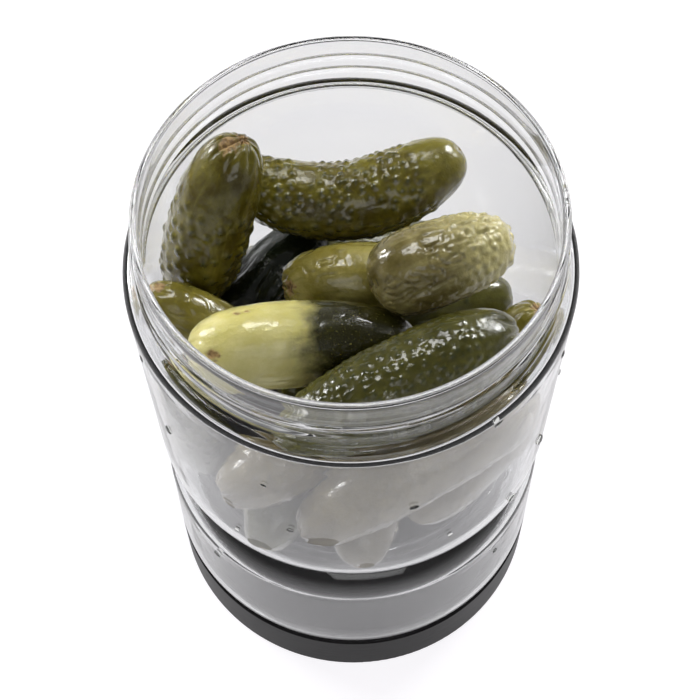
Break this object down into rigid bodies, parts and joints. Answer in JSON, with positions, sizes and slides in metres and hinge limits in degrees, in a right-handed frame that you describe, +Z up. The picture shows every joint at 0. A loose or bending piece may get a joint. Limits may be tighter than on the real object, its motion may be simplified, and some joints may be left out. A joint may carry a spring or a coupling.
{
  "type": "pickle jar",
  "caption": "Hourglass pickle jar of clear glass standing on its black screw lid, mouth open, with a strainer at the waist and the upper chamber full of gherkins.",
  "frame": {"origin": "on the table under the middle of the foot lid", "axes": "+Z up along the jar's axis, out of its mouth; -Y is the side seen in front, +X is to the right of it"},
  "size_m": [0.1084, 0.1084, 0.1688],
  "materials": {
    "clear_glass": "clear, polished, thin walled",
    "black_plastic": "smooth satin moulding",
    "gherkin_skin": "wet, warty, olive green",
    "pale_gherkin_skin": "wet, smooth, pale yellow-green"
  },
  "bodies": {
    "root": {"foot_lid": "black_plastic", "gherkin_back": "gherkin_skin", "gherkin_bed_left": "gherkin_skin", "gherkin_bed_right": "gherkin_skin", "gherkin_crown": "gherkin_skin", "gherkin_dark": "gherkin_skin", "gherkin_front": "gherkin_skin", "gherkin_left": "gherkin_skin", "gherkin_low_left": "gherkin_skin", "gherkin_pale": "pale_gherkin_skin", "gherkin_pane_left": "pale_gherkin_skin", "gherkin_pane_long": "gherkin_skin", "gherkin_pane_low": "gherkin_skin", "gherkin_pane_right": "gherkin_skin", "gherkin_right": "gherkin_skin", "gherkin_short": "gherkin_skin", "gherkin_side": "gherkin_skin", "gherkin_under": "gherkin_skin", "gherkin_upright": "gherkin_skin", "gherkin_wall_left": "gherkin_skin", "lower_chamber": "clear_glass", "strainer": "black_plastic", "upper_chamber": "clear_glass"}
  },
  "joints": []
}
